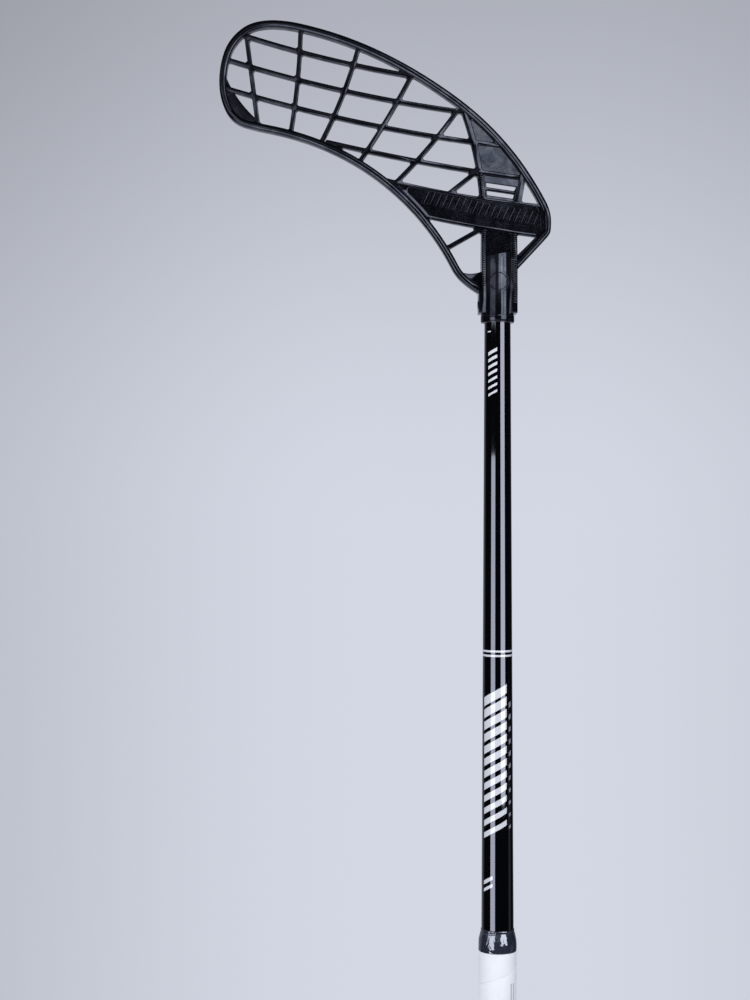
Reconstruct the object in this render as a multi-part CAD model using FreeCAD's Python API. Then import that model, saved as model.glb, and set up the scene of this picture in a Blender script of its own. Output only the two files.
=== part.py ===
# Floorball stick: lattice blade, tapered tube shaft, wound grip and end cap.
# Millimetres. The origin is the middle of the butt end, +Z runs up the shaft to the blade,
# the toe points to -X and the blade's flat lies in the XZ plane.
import FreeCAD, Part
import math
import os

from FreeCAD import Vector

# Shaft
SHAFT_LENGTH = 820.0
SHAFT_DIAMETER = 23.2
SHAFT_TIP_DIAMETER = 18.8
SHAFT_WALL = 1.3

# Grip band, its end tape and the butt cap
GRIP_LENGTH = 330.7
GRIP_THICKNESS = 1.9
GRIP_BAND_PITCH = 30.0
GRIP_SEAM_GAP = 0.5
GRIP_CLEARANCE = 0.05
TAPE_THICKNESS = 0.3
TAPE_ON_GRIP = 6.0
TAPE_SLOPE = 7.5
TAPE_ON_SHAFT = 2.5
CAP_FLANGE_HEIGHT = 4.0
CAP_FLANGE_DIAMETER = 28.0
CAP_EDGE_CHAMFER = 1.2
CAP_STEM_LENGTH = 26.0
CAP_STEM_CLEARANCE = 0.1
CAP_STEM_WALL = 2.0
CAP_STEM_CHAMFER = 1.0

# Socket of the blade, and what fixes the shaft in it
SOCKET_DEPTH = 44.0
SOCKET_WALL = 2.2
SOCKET_ROOF = 4.5
SOCKET_TOP_TILT = 11.0
GLUE_THICKNESS = 0.25
COLLAR_HEIGHT = 5.0
COLLAR_STEP = 0.25
COLLAR_CHAMFER = 0.9
RAIL_START = 6.5
RAIL_WIDTH = 5.2
RAIL_STAND_OUT = 2.0
RAIL_DEPTH = 17.0
RAIL_TOP_DEPTH = 8.0
RAIL_TAPER_START = 44.0
RAIL_CHAMFER = 0.7
TOE_RAIL_STEP_HEIGHT = 22.0
TOE_RAIL_STEP = 2.0
SCREW_HEAD_DIAMETER = 5.4
SCREW_HEAD_HEIGHT = 2.0
SCREW_HEAD_PROUD = 0.5
SCREW_SHANK_DIAMETER = 2.8
SCREW_CLEARANCE = 0.1
SCREW_REACH = 1.2
SCREW_SLOT_WIDTH = 0.9
SCREW_SLOT_DEPTH = 0.7
HEEL_SCREW_HEIGHT = 24.5
TOE_SCREW_HEIGHT = 13.0

# Blade sections
RIM_WIDTH = 5.2
RIM_DEPTH = 10.5
RIM_CHAMFER = 1.3
RIB_WIDTH = 3.3
RIB_DEPTH = 5.5
CELL_CORNER = 1.1
SPINE_WIDTH = 4.6
WEB_THICKNESS = 2.4
BAND_THICKNESS = 3.4
BAND_EDGE_WIDTH = 2.6
BAND_ROUND = 2.0
SLOT_ROUND = 0.6
RIM_LAP = 0.3

# Hook of the blade: flat near the neck, then bent about a line across the blade
HOOK_RADIUS = 1100.0
HOOK_START = 85.0
HOOK_HEIGHT = 75.0
BLADE_RISE_ANGLE = 20.0

# Blade outline from the toe-side arm, round the toe, along the floor edge and round the heel.
# Each node is a distance from the shaft axis, a height above the socket mouth and a heading in degrees.
RIM_NODES = [
    (-33.2, 39.2, 117.0),
    (-95.8, 109.0, 146.5),
    (-165.2, 137.5, 168.3),
    (-195.8, 153.1, 117.7),
    (-200.9, 175.4, 90.0),
    (-197.4, 196.6, 70.5),
    (-185.4, 212.7, 37.5),
    (-160.3, 218.8, -3.5),
    (-127.0, 211.8, -16.7),
    (-75.3, 190.6, -27.7),
    (10.8, 123.5, -51.1),
    (34.2, 87.7, -62.0),
    (38.3, 73.0, -90.0),
    (36.0, 62.0, -131.5),
    (18.6, 43.1, -133.0),
]
TOE_ARM_FOOT = 20.9
TOE_ARM_HEADING = 150.0
HEEL_ARM_FOOT = 36.0
HEEL_ARM_HEADING = -90.0

# Ribs as two points for a straight one and three for an arc, in the same distances and heights
LONG_RIBS = [
    [(-183.0, 208.8), (-124.0, 190.8), (-60.0, 177.2)],
    [(-199.0, 192.8), (-112.0, 167.5), (-24.5, 151.7)],
    [(-200.0, 171.9), (-100.0, 144.4), (4.0, 127.4)],
    [(-124.0, 130.5), (-57.0, 116.1), (24.0, 103.3)],
]
CROSS_RIBS = [
    [(-181.7, 212.0), (-172.1, 138.0)],
    [(-141.8, 217.0), (-143.9, 176.0), (-150.0, 131.0)],
    [(-97.9, 207.0), (-109.0, 170.5), (-129.0, 126.0)],
    [(-59.3, 183.0), (-77.7, 149.5), (-103.4, 110.0)],
    [(-28.4, 153.4), (-49.6, 126.2), (-76.1, 98.0)],
    [(-12.0, 111.2), (-37.5, 91.0)],
    [(-44.0, 49.4), (-10.0, 68.6)],
]
SPINE_LINE = [(-28.8, 164.0), (-16.4, 126.0), (-10.6, 86.0)]
SLOT_BOX_SIDE = [(18.6, 108.0), (14.0, 82.0)]
BAND_TOP_EDGE = [(-93.0, 107.4), (-28.0, 93.1), (40.0, 84.5)]
BAND_BOTTOM_EDGE = [(-64.0, 78.2), (-15.8, 68.1), (40.0, 60.2)]
RAIL_TOP = 72.0
SLOTS = [
    [(-8.2, 100.9), (13.4, 97.7), (11.8, 94.9), (-8.0, 97.9)],
    [(-7.8, 95.1), (11.8, 92.3), (10.9, 89.4), (-7.4, 92.0)],
]
TOE_WEB_EDGE = [(-199.0, 187.0), (-186.5, 162.0), (-166.0, 141.5)]
TOE_WEB_CORNERS = [(-215.0, 130.0)]
ARM_WEB_EDGE = [(-39.0, 58.5), (-22.0, 35.6), (-8.0, 39.0)]
ARM_WEB_CORNERS = [(-8.0, 15.0), (-30.0, 15.0)]
HEEL_WEB_EDGE = [(29.5, 64.2), (20.9, 55.4), (11.5, 46.3)]
HEEL_WEB_CORNERS = [(11.5, 36.0), (44.0, 40.0), (44.0, 66.0)]

# A point inside each cell that a panel closes
PANEL_CELLS = [(-12.0, 138.0), (0.0, 117.0), (2.0, 101.5), (0.0, 60.0)]

# Derived sizes
SHAFT_BOTTOM = CAP_FLANGE_HEIGHT
SHAFT_TOP = SHAFT_BOTTOM + SHAFT_LENGTH
SOCKET_MOUTH = SHAFT_TOP - SOCKET_DEPTH
GRIP_TOP = SHAFT_BOTTOM + GRIP_LENGTH
SHAFT_RADIUS = SHAFT_DIAMETER / 2
TIP_RADIUS = SHAFT_TIP_DIAMETER / 2
GRIP_RADIUS = SHAFT_RADIUS + GRIP_CLEARANCE + GRIP_THICKNESS
TAPER_START = GRIP_TOP + TAPE_SLOPE + TAPE_ON_SHAFT
SOCKET_RADIUS = TIP_RADIUS + GLUE_THICKNESS + SOCKET_WALL
RAIL_OUTSIDE = SOCKET_RADIUS + RAIL_STAND_OUT
UP = Vector(0, 0, 1)
DEPTH = Vector(0, 1, 0)
BLADE_SPAN = 500.0
SMOOTH_TURN = math.radians(6)
CORNER_SHARE = 0.4
STRAIGHT = 1e-6
WALL_LEAN = 0.05
UPRIGHT = 0.9
TOUCHING = 1e-3
SEAM_STEP = 0.1


def turned(profile):
    """Solid of revolution about the shaft axis from (radius, height) corners."""
    corners = [Vector(radius, 0, height) for radius, height in profile]
    face = Part.Face(Part.makePolygon(corners + corners[:1]))
    return face.revolve(Vector(0, 0, 0), UP, 360)


def at(point):
    """Place of a blade point: distance from the shaft axis and height above the socket mouth."""
    return Vector(point[0], 0, SOCKET_MOUTH + point[1])


def heading(degrees):
    return Vector(math.cos(math.radians(degrees)), 0, math.sin(math.radians(degrees)))


def arc_from(start, direction, end):
    """Arc or line that leaves start along direction and reaches end."""
    chord = end - start
    along = chord * (1 / chord.Length)
    side = direction - along * direction.dot(along)
    if side.Length < STRAIGHT:
        return Part.LineSegment(start, end).toShape()
    half_turn = math.atan2(side.Length, direction.dot(along))
    bulge = side * (1 / side.Length) * (chord.Length / 2 * math.tan(half_turn / 2))
    return Part.Arc(start, (start + end) * 0.5 + bulge, end).toShape()


def biarc(start, start_direction, end, end_direction):
    """Two arcs that join smoothly and keep both end directions."""
    chord = end - start
    tangents = start_direction + end_direction
    square = 4 - tangents.dot(tangents)
    along = chord.dot(tangents)
    if square < STRAIGHT ** 2:
        reach = chord.dot(chord) / (2 * along)
    else:
        reach = (math.sqrt(along * along + square * chord.dot(chord)) - along) / square
    middle = (start + start_direction * reach + end - end_direction * reach) * 0.5
    first = arc_from(start, start_direction, middle)
    second = arc_from(end, end_direction * -1, middle)
    return [first, second]


def outline(inset):
    """Closed face inside the blade's outline, drawn in by inset."""
    foot = (-RAIL_OUTSIDE, TOE_ARM_FOOT, TOE_ARM_HEADING)
    end = (RAIL_OUTSIDE, HEEL_ARM_FOOT, HEEL_ARM_HEADING)
    nodes = [foot] + RIM_NODES + [end]
    places = []
    for distance, height, degrees in nodes:
        inward = heading(degrees - 90)
        places.append((at((distance, height)) + inward * inset, heading(degrees)))
    edges = []
    for (start, leaving), (stop, arriving) in zip(places, places[1:]):
        edges += biarc(start, leaving, stop, arriving)
    edges.append(Part.LineSegment(places[-1][0], places[0][0]).toShape())
    return Part.Face(Part.Wire(Part.__sortEdges__(edges)))


def centre_line(points):
    if len(points) == 2:
        return Part.LineSegment(at(points[0]), at(points[1]))
    return Part.Arc(at(points[0]), at(points[1]), at(points[2]))


def strip(points, width):
    """Flat strip of even width along a straight or arched centre line."""
    sides = []
    for shift in (-width / 2, width / 2):
        moved = []
        curve = centre_line(points)
        for share in (0.0, 0.5, 1.0):
            parameter = curve.FirstParameter + share * (curve.LastParameter - curve.FirstParameter)
            place = curve.value(parameter)
            across = curve.tangent(parameter)[0].cross(DEPTH)
            moved.append(place + across * shift)
        sides.append(moved)
    left, right = sides
    if len(points) == 2:
        return Part.Face(Part.makePolygon([left[0], left[2], right[2], right[0], left[0]]))
    edges = [
        Part.Arc(left[0], left[1], left[2]).toShape(),
        Part.LineSegment(left[2], right[2]).toShape(),
        Part.Arc(right[2], right[1], right[0]).toShape(),
        Part.LineSegment(right[0], left[0]).toShape(),
    ]
    return Part.Face(Part.Wire(edges))


def beyond(points, corners):
    """Region on the outer side of an arched edge, closed through far corners."""
    start, middle, end = [at(point) for point in points]
    stops = [end] + [at(corner) for corner in corners] + [start]
    edges = [Part.Arc(start, middle, end).toShape()]
    edges += [Part.LineSegment(here, there).toShape() for here, there in zip(stops, stops[1:])]
    return Part.Face(Part.Wire(edges))


def trimmed(edge, cut_start, cut_end):
    """Edge without a length at each end, with its end points and directions in the way of travel."""
    backwards = edge.Orientation == "Reversed"
    if backwards:
        cut_start, cut_end = cut_end, cut_start
    low = edge.getParameterByLength(cut_start)
    high = edge.getParameterByLength(edge.Length - cut_end)
    piece = edge.Curve.toShape(low, high)
    ends = [(edge.valueAt(value), edge.tangentAt(value)) for value in (low, high)]
    if backwards:
        ends = [(place, direction * -1) for place, direction in reversed(ends)]
    return piece, ends


def eased(face, radius, round_corners=True):
    """The face with its corners rounded or cut straight, each limited by the shorter side there."""
    sides = face.OuterWire.OrderedEdges
    cuts = []
    for side, following in zip(sides, sides[1:] + sides[:1]):
        leaving = trimmed(side, 0, 0)[1][1][1]
        arriving = trimmed(following, 0, 0)[1][0][1]
        turn = leaving.getAngle(arriving)
        room = CORNER_SHARE * min(side.Length, following.Length)
        smooth = turn < SMOOTH_TURN
        cuts.append(0 if smooth else min(radius * math.tan(turn / 2), room))
    pieces = [trimmed(side, cuts[index - 1], cuts[index]) for index, side in enumerate(sides)]
    edges = []
    for index, (piece, ends) in enumerate(pieces):
        edges.append(piece)
        if cuts[index]:
            corner_start, direction = ends[1]
            corner_end = pieces[(index + 1) % len(pieces)][1][0][0]
            if round_corners:
                edges.append(arc_from(corner_start, direction, corner_end))
            else:
                edges.append(Part.LineSegment(corner_start, corner_end).toShape())
    return Part.Face(Part.Wire(Part.__sortEdges__(edges)))


def raised(face):
    """Prism through the whole depth of the blade."""
    block = face.extrude(DEPTH * BLADE_SPAN)
    block.translate(DEPTH * (-BLADE_SPAN / 2))
    return block


def hooked_slab(thickness):
    """Plate of even thickness with the blade's hook, wide enough for the whole blade."""
    along = heading(180 - BLADE_RISE_ANGLE)
    across = heading(90 - BLADE_RISE_ANGLE)
    base = at((0, HOOK_HEIGHT)) - across * (BLADE_SPAN / 2)
    turn = math.asin(BLADE_SPAN / 2 / HOOK_RADIUS)

    def spot(angle, side):
        radius = HOOK_RADIUS - side * thickness / 2
        distance = HOOK_START + radius * math.sin(angle)
        return base + along * distance + DEPTH * (HOOK_RADIUS - radius * math.cos(angle))

    def flat_end(side):
        return base - along * (BLADE_SPAN / 2) + DEPTH * (side * thickness / 2)

    edges = [
        Part.LineSegment(flat_end(-1), spot(0, -1)).toShape(),
        Part.Arc(spot(0, -1), spot(turn / 2, -1), spot(turn, -1)).toShape(),
        Part.LineSegment(spot(turn, -1), spot(turn, 1)).toShape(),
        Part.Arc(spot(turn, 1), spot(turn / 2, 1), spot(0, 1)).toShape(),
        Part.LineSegment(spot(0, 1), flat_end(1)).toShape(),
        Part.LineSegment(flat_end(1), flat_end(-1)).toShape(),
    ]
    return Part.Face(Part.Wire(edges)).extrude(across * BLADE_SPAN)


def wall_edges(solid):
    """Edges where the blade's upright walls meet its front and back skins."""
    edges = []
    for face in solid.Faces:
        first, last, low, high = face.ParameterRange
        normal = face.normalAt((first + last) / 2, (low + high) / 2)
        if abs(normal.dot(DEPTH)) > WALL_LEAN:
            continue
        for edge in face.Edges:
            direction = edge.tangentAt((edge.FirstParameter + edge.LastParameter) / 2)
            if abs(direction.dot(DEPTH)) < UPRIGHT:
                edges.append(edge)
    return edges


def middle_of(edge):
    return edge.valueAt((edge.FirstParameter + edge.LastParameter) / 2)


def blade_rim():
    """Deep rounded frame round the blade. Its foot, inside the socket, stays square."""
    ring = outline(0).cut(outline(RIM_WIDTH))
    frame = raised(ring).common(hooked_slab(RIM_DEPTH))
    showing = []
    for edge in wall_edges(frame):
        place = middle_of(edge)
        in_socket = abs(place.x) < SOCKET_RADIUS and place.z < SOCKET_MOUTH + HEEL_ARM_FOOT
        if not in_socket:
            showing.append(edge)
    return frame.makeChamfer(RIM_CHAMFER, showing)


def between(upper, lower):
    """Region between two arched edges."""
    start, middle, end = [at(point) for point in upper]
    back_end, back_middle, back_start = [at(point) for point in lower]
    edges = [
        Part.Arc(start, middle, end).toShape(),
        Part.LineSegment(end, back_start).toShape(),
        Part.Arc(back_start, back_middle, back_end).toShape(),
        Part.LineSegment(back_end, start).toShape(),
    ]
    return Part.Face(Part.Wire(edges))


def polygon(points):
    places = [at(point) for point in points]
    return Part.Face(Part.makePolygon(places + places[:1]))


def band_plan():
    """Front view of the reinforcing band across the neck."""
    return between(BAND_TOP_EDGE, BAND_BOTTOM_EDGE)


def rail_plans():
    """Front view of the two rails beside the socket, toe side first."""
    inside = RAIL_OUTSIDE - RAIL_WIDTH
    slim = RAIL_OUTSIDE - TOE_RAIL_STEP
    toe_side = polygon([
        (-inside, RAIL_START),
        (-inside, RAIL_TOP),
        (-slim, RAIL_TOP),
        (-slim, TOE_RAIL_STEP_HEIGHT + TOE_RAIL_STEP),
        (-RAIL_OUTSIDE, TOE_RAIL_STEP_HEIGHT),
        (-RAIL_OUTSIDE, RAIL_START),
    ])
    heel_side = polygon([
        (inside, RAIL_START),
        (RAIL_OUTSIDE, RAIL_START),
        (RAIL_OUTSIDE, RAIL_TOP),
        (inside, RAIL_TOP),
    ])
    return [toe_side.cut(band_plan()).Faces[0], heel_side.cut(band_plan()).Faces[0]]


def blade_cells():
    """Cells between the ribs as flat faces: the open ones, and those that a panel closes."""
    solid_places = [strip(points, RIB_WIDTH) for points in LONG_RIBS + CROSS_RIBS]
    solid_places += [strip(points, SPINE_WIDTH) for points in (SPINE_LINE, SLOT_BOX_SIDE)]
    solid_places += rail_plans()
    solid_places.append(band_plan())
    open_cells = []
    panel_cells = []
    for cell in outline(RIM_WIDTH - RIM_LAP).cut(solid_places).Faces:
        closed = any(cell.isInside(at(point), TOUCHING, True) for point in PANEL_CELLS)
        kind = panel_cells if closed else open_cells
        kind.append(eased(cell, CELL_CORNER, round_corners=False))
    return open_cells, panel_cells


def band_recess():
    """Flat face of the sunk panel along the reinforcing band."""
    band = band_plan().common(outline(RIM_WIDTH)).Faces[0]
    return eased(band.makeOffset2D(-BAND_EDGE_WIDTH, 2).Faces[0], BAND_ROUND)


def blade_lattice():
    """Ribs, spine and band at rib depth, with sunk panels between some of them."""
    open_cells, panel_cells = blade_cells()
    slots = [eased(polygon(points), SLOT_ROUND) for points in SLOTS]
    plate = outline(RIM_WIDTH / 2).cut(open_cells + slots)
    lattice = raised(plate).common(hooked_slab(RIB_DEPTH))
    web = hooked_slab(WEB_THICKNESS)
    pockets = [raised(cell).cut(web) for cell in panel_cells]
    pockets.append(raised(band_recess()).cut(hooked_slab(BAND_THICKNESS)))
    return lattice.cut(pockets)


def corner_webs():
    """Thin webs in the toe's corner, in the foot of the toe-side arm and along the heel-side arm."""
    toe = beyond(TOE_WEB_EDGE, TOE_WEB_CORNERS)
    arm = beyond(ARM_WEB_EDGE, ARM_WEB_CORNERS)
    heel = beyond(HEEL_WEB_EDGE, HEEL_WEB_CORNERS)
    inside_rim = outline(RIM_WIDTH / 2)
    web = hooked_slab(WEB_THICKNESS)
    return [raised(place.common(inside_rim)).common(web) for place in (toe, arm, heel)]


def rails():
    """Two deep rails that carry the socket up to the band and thin out on the way."""
    half = RAIL_DEPTH / 2
    half_top = RAIL_TOP_DEPTH / 2
    side_view = [
        (-half, RAIL_START),
        (half, RAIL_START),
        (half, RAIL_TAPER_START),
        (half_top, RAIL_TOP),
        (-half_top, RAIL_TOP),
        (-half, RAIL_TAPER_START),
    ]
    corners = [Vector(-2 * RAIL_OUTSIDE, depth, SOCKET_MOUTH + height) for depth, height in side_view]
    profile = Part.Face(Part.makePolygon(corners + corners[:1]))
    envelope = profile.extrude(Vector(4 * RAIL_OUTSIDE, 0, 0))
    bars = []
    for plan in rail_plans():
        bar = raised(plan).common(envelope)
        bars.append(bar.makeChamfer(RAIL_CHAMFER, wall_edges(bar)))
    return bars


def socket_shell():
    """Closed tube with a collar at its mouth and a slanted roof."""
    top = SOCKET_MOUTH + SOCKET_DEPTH + SOCKET_ROOF
    reach = 2 * SOCKET_RADIUS
    shell = Part.makeCylinder(SOCKET_RADIUS, SOCKET_DEPTH + SOCKET_ROOF + reach, UP * SOCKET_MOUTH)
    above = Part.makeBox(2 * reach, 2 * reach, 2 * reach, Vector(-reach, -reach, top))
    above.rotate(UP * top, DEPTH, -SOCKET_TOP_TILT)
    outside = SOCKET_RADIUS + COLLAR_STEP
    collar = turned([
        (0, SOCKET_MOUTH),
        (outside - COLLAR_CHAMFER, SOCKET_MOUTH),
        (outside, SOCKET_MOUTH + COLLAR_CHAMFER),
        (outside, SOCKET_MOUTH + COLLAR_HEIGHT),
        (0, SOCKET_MOUTH + COLLAR_HEIGHT),
    ])
    return shell.cut(above).fuse(collar)


def socket_bore():
    """Space in the socket for the shaft's end and its glue."""
    return Part.makeCylinder(TIP_RADIUS + GLUE_THICKNESS, SOCKET_DEPTH, UP * SOCKET_MOUTH)


def screw(side, height):
    """Screw that enters the rail on one side and ends inside the shaft."""
    level = UP * (SOCKET_MOUTH + height)
    outwards = Vector(side, 0, 0)
    face = RAIL_OUTSIDE + SCREW_HEAD_PROUD
    seat = face - SCREW_HEAD_HEIGHT
    tip = TIP_RADIUS - SHAFT_WALL - SCREW_REACH
    shank = Part.makeCylinder(SCREW_SHANK_DIAMETER / 2, seat - tip, level + outwards * tip, outwards)
    head = Part.makeCylinder(SCREW_HEAD_DIAMETER / 2, SCREW_HEAD_HEIGHT, level + outwards * seat, outwards)
    slot = Part.makeBox(2 * SCREW_SLOT_DEPTH, SCREW_SLOT_WIDTH, 2 * SCREW_HEAD_DIAMETER)
    slot.translate(level + outwards * face - slot.CenterOfMass)
    return shank.fuse(head).cut(slot).removeSplitter()


def screw_hole(side, height):
    """Room for a screw through the rail, the socket, the glue and the shaft."""
    level = UP * (SOCKET_MOUTH + height)
    outwards = Vector(side, 0, 0)
    seat = RAIL_OUTSIDE + SCREW_HEAD_PROUD - SCREW_HEAD_HEIGHT
    shank_radius = SCREW_SHANK_DIAMETER / 2 + SCREW_CLEARANCE
    head_radius = SCREW_HEAD_DIAMETER / 2 + SCREW_CLEARANCE
    shank = Part.makeCylinder(shank_radius, seat, level, outwards)
    head = Part.makeCylinder(head_radius, RAIL_OUTSIDE, level + outwards * seat, outwards)
    return shank.fuse(head)


def screw_holes():
    return [screw_hole(1, HEEL_SCREW_HEIGHT), screw_hole(-1, TOE_SCREW_HEIGHT)]


def blade():
    pieces = [blade_lattice(), socket_shell()] + corner_webs() + rails()
    body = blade_rim().fuse(pieces)
    return body.cut([socket_bore()] + screw_holes()).removeSplitter()


def sleeve(outer_radius, inner_radius, low, height):
    """Plain round sleeve about the shaft axis."""
    outside = Part.makeCylinder(outer_radius, height, UP * low)
    return outside.cut(Part.makeCylinder(inner_radius, height, UP * low))


def socket_glue_film():
    film = sleeve(TIP_RADIUS + GLUE_THICKNESS, TIP_RADIUS, SOCKET_MOUTH, SOCKET_DEPTH)
    return film.cut(screw_holes())


def shaft_tube():
    """Tube that is straight under the grip, tapers up to the blade and ends straight in the socket."""
    outside = [
        (SHAFT_RADIUS, SHAFT_BOTTOM),
        (SHAFT_RADIUS, TAPER_START),
        (TIP_RADIUS, SOCKET_MOUTH),
        (TIP_RADIUS, SHAFT_TOP),
    ]
    inside = [(radius - SHAFT_WALL, height) for radius, height in reversed(outside)]
    return turned(outside + inside).cut(screw_holes())


def on_winding(quarters):
    """Place and direction on the middle line of the grip band after some quarter turns."""
    angle = math.radians(90 * quarters)
    radius = GRIP_RADIUS - GRIP_THICKNESS / 2
    height = SHAFT_BOTTOM + GRIP_BAND_PITCH * (quarters / 4 - 1)
    out = Vector(math.cos(angle), math.sin(angle), 0)
    direction = UP.cross(out) * radius + UP * (GRIP_BAND_PITCH / (2 * math.pi))
    return out * radius + UP * height, direction.normalize()


def grip_wrap():
    """One soft band wound up the shaft, edge to edge, and trimmed square at both ends."""
    turns = math.ceil(GRIP_LENGTH / GRIP_BAND_PITCH) + 2
    edges = []
    for quarter in range(4 * turns):
        edges += biarc(*on_winding(quarter), *on_winding(quarter + 1))
    path = Part.Wire(Part.__sortEdges__(edges))
    print("least gap between the turns of the grip band:", round(seam_gap(path, turns), 3))
    half_band = UP * ((GRIP_BAND_PITCH - GRIP_SEAM_GAP) / 2)
    inner = Vector(GRIP_RADIUS - GRIP_THICKNESS, 0, SHAFT_BOTTOM - GRIP_BAND_PITCH)
    outer = Vector(GRIP_RADIUS, 0, SHAFT_BOTTOM - GRIP_BAND_PITCH)
    corners = [inner - half_band, outer - half_band, outer + half_band, inner + half_band]
    winding = Part.BRepOffsetAPI.MakePipeShell(path)
    winding.setBiNormalMode(UP)
    winding.add(Part.makePolygon(corners + corners[:1]))
    winding.build()
    winding.makeSolid()
    room = Part.makeCylinder(2 * GRIP_RADIUS, GRIP_LENGTH, UP * SHAFT_BOTTOM)
    return winding.shape().common(room)


def seam_gap(path, turns):
    """Least distance between points on the grip band's upper edge and the lower edge of its next turn."""
    band = UP * (GRIP_BAND_PITCH - GRIP_SEAM_GAP)
    points = path.discretize(Distance=SEAM_STEP)
    one_turn = len(points) // turns
    lower_edge = [point - band for point in points[one_turn // 2:2 * one_turn]]
    upper_edge = points[one_turn // 2:one_turn:one_turn // 8]
    return min(place.distanceToPoint(other) for place in upper_edge for other in lower_edge[one_turn // 4:])


def grip_end_tape():
    """Thin film wound over the end of the grip band and down onto the bare shaft."""
    inside = [
        (GRIP_RADIUS + GRIP_CLEARANCE, GRIP_TOP - TAPE_ON_GRIP),
        (GRIP_RADIUS + GRIP_CLEARANCE, GRIP_TOP),
        (SHAFT_RADIUS, GRIP_TOP + TAPE_SLOPE),
        (SHAFT_RADIUS, TAPER_START),
    ]
    outside = [(radius + TAPE_THICKNESS, height) for radius, height in reversed(inside)]
    return turned(inside + outside)


def butt_cap():
    """Chamfered end flange with a hollow stem that plugs the tube."""
    flange = CAP_FLANGE_DIAMETER / 2
    stem = SHAFT_RADIUS - SHAFT_WALL - CAP_STEM_CLEARANCE
    hollow = stem - CAP_STEM_WALL
    top = CAP_FLANGE_HEIGHT + CAP_STEM_LENGTH
    return turned([
        (0, 0),
        (flange - CAP_EDGE_CHAMFER, 0),
        (flange, CAP_EDGE_CHAMFER),
        (flange, CAP_FLANGE_HEIGHT),
        (stem, CAP_FLANGE_HEIGHT),
        (stem, top - CAP_STEM_CHAMFER),
        (stem - CAP_STEM_CHAMFER, top),
        (hollow, top),
        (hollow, CAP_FLANGE_HEIGHT),
        (0, CAP_FLANGE_HEIGHT),
    ])


def main():
    os.makedirs("parts", exist_ok=True)
    pieces = {
        "blade": blade(),
        "heel_side_screw": screw(1, HEEL_SCREW_HEIGHT),
        "toe_side_screw": screw(-1, TOE_SCREW_HEIGHT),
        "socket_glue_film": socket_glue_film(),
        "shaft_tube": shaft_tube(),
        "grip_wrap": grip_wrap(),
        "grip_end_tape": grip_end_tape(),
        "butt_cap": butt_cap(),
    }
    for name, shape in pieces.items():
        print(name, "valid", shape.isValid(), "solids", len(shape.Solids), "volume", round(shape.Volume))
        shape.exportStep(f"parts/{name}.step")


main()
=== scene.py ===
import math
from functools import partial

import bmesh
import bpy
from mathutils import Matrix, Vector, noise


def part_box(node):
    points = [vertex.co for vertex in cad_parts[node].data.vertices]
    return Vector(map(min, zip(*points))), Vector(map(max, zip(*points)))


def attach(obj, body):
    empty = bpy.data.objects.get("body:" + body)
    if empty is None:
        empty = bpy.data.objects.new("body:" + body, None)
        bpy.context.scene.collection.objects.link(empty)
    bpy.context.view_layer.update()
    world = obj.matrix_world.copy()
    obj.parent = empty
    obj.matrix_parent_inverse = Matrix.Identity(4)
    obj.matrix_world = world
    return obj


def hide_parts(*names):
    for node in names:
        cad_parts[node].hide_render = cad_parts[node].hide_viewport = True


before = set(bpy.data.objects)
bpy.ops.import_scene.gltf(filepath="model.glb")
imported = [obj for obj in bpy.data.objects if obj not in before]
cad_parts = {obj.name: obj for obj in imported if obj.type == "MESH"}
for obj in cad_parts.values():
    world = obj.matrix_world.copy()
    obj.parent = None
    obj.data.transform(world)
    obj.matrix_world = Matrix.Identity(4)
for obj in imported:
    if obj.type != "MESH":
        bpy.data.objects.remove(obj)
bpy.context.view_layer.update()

MM = 0.001

# Places that the solids' boxes give, in metres.
shaft_low, shaft_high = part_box("shaft_tube")
glue_low, glue_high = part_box("socket_glue_film")
tape_low, tape_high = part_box("grip_end_tape")
grip_low, grip_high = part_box("grip_wrap")
cap_low, cap_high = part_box("butt_cap")
SOCKET_MOUTH = glue_low.z
SHAFT_RADIUS = shaft_high.x
TAPER_START = tape_high.z
GRIP_RADIUS = grip_high.x

# Sizes of the solids that no box gives. Heights on the blade start at the socket's mouth.
GLUE_THICKNESS = 0.25 * MM
TIP_RADIUS = glue_high.x - GLUE_THICKNESS
SHAFT_WALL = 1.3 * MM
SOCKET_WALL = 2.2 * MM
SOCKET_RADIUS = glue_high.x + SOCKET_WALL
RAIL_STAND_OUT = 2 * MM
RAIL_WIDTH = 5.2 * MM
RAIL_OUTSIDE = SOCKET_RADIUS + RAIL_STAND_OUT
RAIL_FRONT = 8.5 * MM
RAIL_TOP_FRONT = 4 * MM
RAIL_BEND = 44 * MM
RAIL_TOP = 72 * MM
TOE_RAIL_STEP = 2 * MM
RIB_FRONT = 2.75 * MM
BAND_FRONT = 1.7 * MM
WEB_FRONT = 1.2 * MM
GRIP_PITCH = 30 * MM
CAP_STEM_CLEARANCE = 0.1 * MM
CAP_STEM_WALL = 2 * MM
CAP_STEM_CHAMFER = 1 * MM

# How the mould eases the blade's edges, with turns in degrees. The neck's chamfers stay as they are.
BLADE_EASE = 0.7 * MM
NECK_EASE_SHARE = 0.3
NECK_SIDE = 15 * MM
NECK_TOP = 74 * MM
FLAT_TURN = 0.4
SHARP_TURN = 24
CHAMFER_TURN = 52
WELD = 0.002 * MM

# Rows of cross ribs: first and last height, and a rib's length.
HEEL_LADDER = (14 * MM, 63 * MM, 3.8 * MM)
TOE_LADDER = (26 * MM, 66 * MM, 2.6 * MM)
LADDER_PITCH = 1.57 * MM
LADDER_RIB_DEPTH = 1.2 * MM
LADDER_RIB_WIDTH = 0.85 * MM
LADDER_RIB_EASE = 0.3 * MM
SPINE_LADDER_TOP = (-12.9 * MM, 108 * MM)
SPINE_LADDER_FOOT = (-10.8 * MM, 89.5 * MM)
SPINE_RIB_LENGTH = 3.2 * MM
LEVEL = (1, 0, 0)
SPINE_LEAN = (1, 0, 0.12)

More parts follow.
